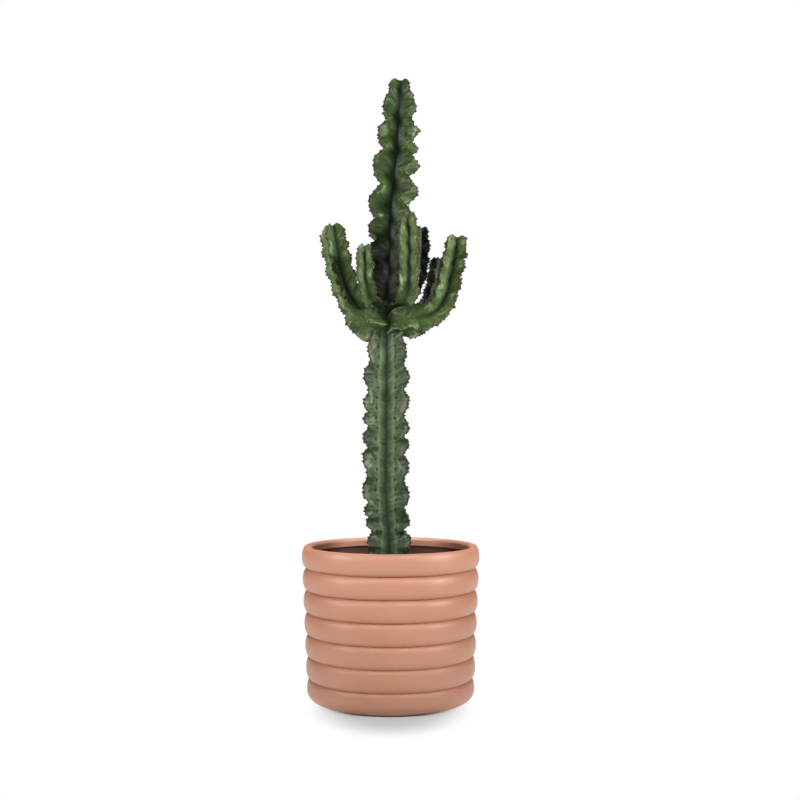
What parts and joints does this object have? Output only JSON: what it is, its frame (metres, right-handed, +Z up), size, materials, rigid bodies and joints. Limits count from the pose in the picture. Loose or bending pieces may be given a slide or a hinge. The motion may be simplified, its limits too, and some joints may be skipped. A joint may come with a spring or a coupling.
{
  "type": "potted euphorbia",
  "caption": "Tall four-winged candelabra euphorbia with upright side arms, wavy spined edges, standing in a terracotta-coloured round pot with a stacked-ring wall.",
  "frame": {"origin": "centre of the pot's underside", "axes": "+Z up along the pot's axis, -Y towards the plant's front, where the two small front arms stand"},
  "size_m": [0.2976, 0.2976, 1.0445],
  "materials": {
    "pot": "matte terracotta-coloured",
    "soil": "dark crumbly potting soil",
    "trunk": "waxy green succulent skin, grey-green below",
    "arm": "waxy green succulent skin, fresh green"
  },
  "bodies": {
    "root": {"pot": "pot", "soil": "soil", "trunk": "trunk", "arm_left": "arm", "arm_front_left": "arm", "arm_front_right": "arm", "arm_right": "arm", "arm_back_right": "arm", "arm_back_small": "arm"}
  },
  "joints": []
}
